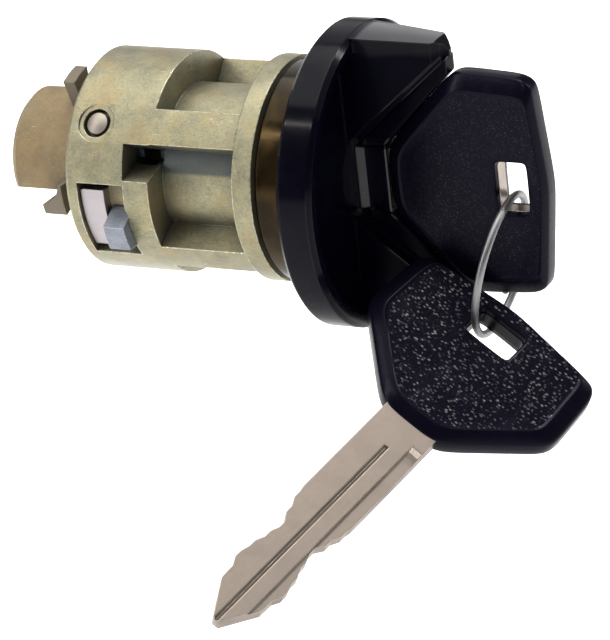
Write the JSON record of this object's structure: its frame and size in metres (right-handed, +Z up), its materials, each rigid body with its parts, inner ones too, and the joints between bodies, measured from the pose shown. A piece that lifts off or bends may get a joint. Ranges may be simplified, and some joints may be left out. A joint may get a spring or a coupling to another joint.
{
  "type": "ignition switch",
  "caption": "Ignition lock cylinder with a die-cast barrel, wing knob and rear driver, a key in its keyway and a spare key on a wire ring.",
  "frame": {"origin": "on the lock's axis at the barrel's front face", "axes": "+X along the lock towards the key, +Z up along the key's width, -Y towards the viewer"},
  "size_m": [0.0811, 0.078, 0.0577],
  "materials": {
    "zinc_chromate": "die-cast zinc with a yellow-olive chromate",
    "zinc_olive": "die-cast zinc with a brownish olive chromate",
    "zinc_grey": "bare grey zinc",
    "steel": "bright steel",
    "brass": "satin",
    "dark_coat": "dark glossy coat",
    "black_gloss": "glossy black",
    "black_grip": "black with a pebbled field",
    "nickel": "nickel silver"
  },
  "bodies": {
    "housing": {"lock_housing": "zinc_chromate", "guide_plate": "steel", "tab_spring": "steel", "pin_spring": "steel", "return_spring": "steel"},
    "tab": {"retaining_tab": "zinc_grey"},
    "pin": {"retaining_pin": "steel"},
    "rotor": {"lock_plug": "brass", "wafer_1": "brass", "wafer_2": "brass", "wafer_3": "brass", "wafer_4": "brass", "wafer_5": "brass", "wafer_6": "brass", "wafer_7": "brass", "wafer_springs": "steel", "rear_driver": "zinc_olive", "driver_washer": "steel", "driver_screw": "steel", "collar": "dark_coat", "knob_screws": "steel", "knob": "black_gloss"},
    "key": {"key_blade": "nickel", "key_head": "black_grip"},
    "ring": {"key_ring": "steel"},
    "spare": {"spare_blade": "nickel", "spare_head": "black_grip"}
  },
  "joints": [
    {"name": "plug_turn", "type": "hinge", "parent": "housing", "child": "rotor", "pos_m": [0, 0, 0], "axis": [-1, 0, 0], "range_deg": [0, 110]},
    {"name": "key_slide", "type": "slide", "parent": "rotor", "child": "key", "axis": [1, 0, 0], "range_m": [0, 0.045]},
    {"name": "ring_swing", "type": "hinge", "parent": "key", "child": "ring", "pos_m": [0.0305, 0, -0.0017], "axis": [0.1165, -0.9691, 0.2176], "range_deg": [-5, 30]},
    {"name": "spare_swing", "type": "hinge", "parent": "ring", "child": "spare", "pos_m": [0.02679, -0.00793, -0.01765], "axis": [-0.2012, 0.7878, -0.5821], "range_deg": [-35, 6]},
    {"name": "pin_press", "type": "slide", "parent": "housing", "child": "pin", "axis": [0, -0.7826, 0.6225], "range_m": [-0.0016, 0], "stiffness_N_per_m": 600, "springref_m": 0.001, "deforming": ["pin_spring"]},
    {"name": "tab_press", "type": "slide", "parent": "housing", "child": "tab", "axis": [0, -1, 0], "range_m": [-0.0019, 0], "stiffness_N_per_m": 600, "springref_m": 0.001, "deforming": ["tab_spring"]}
  ]
}
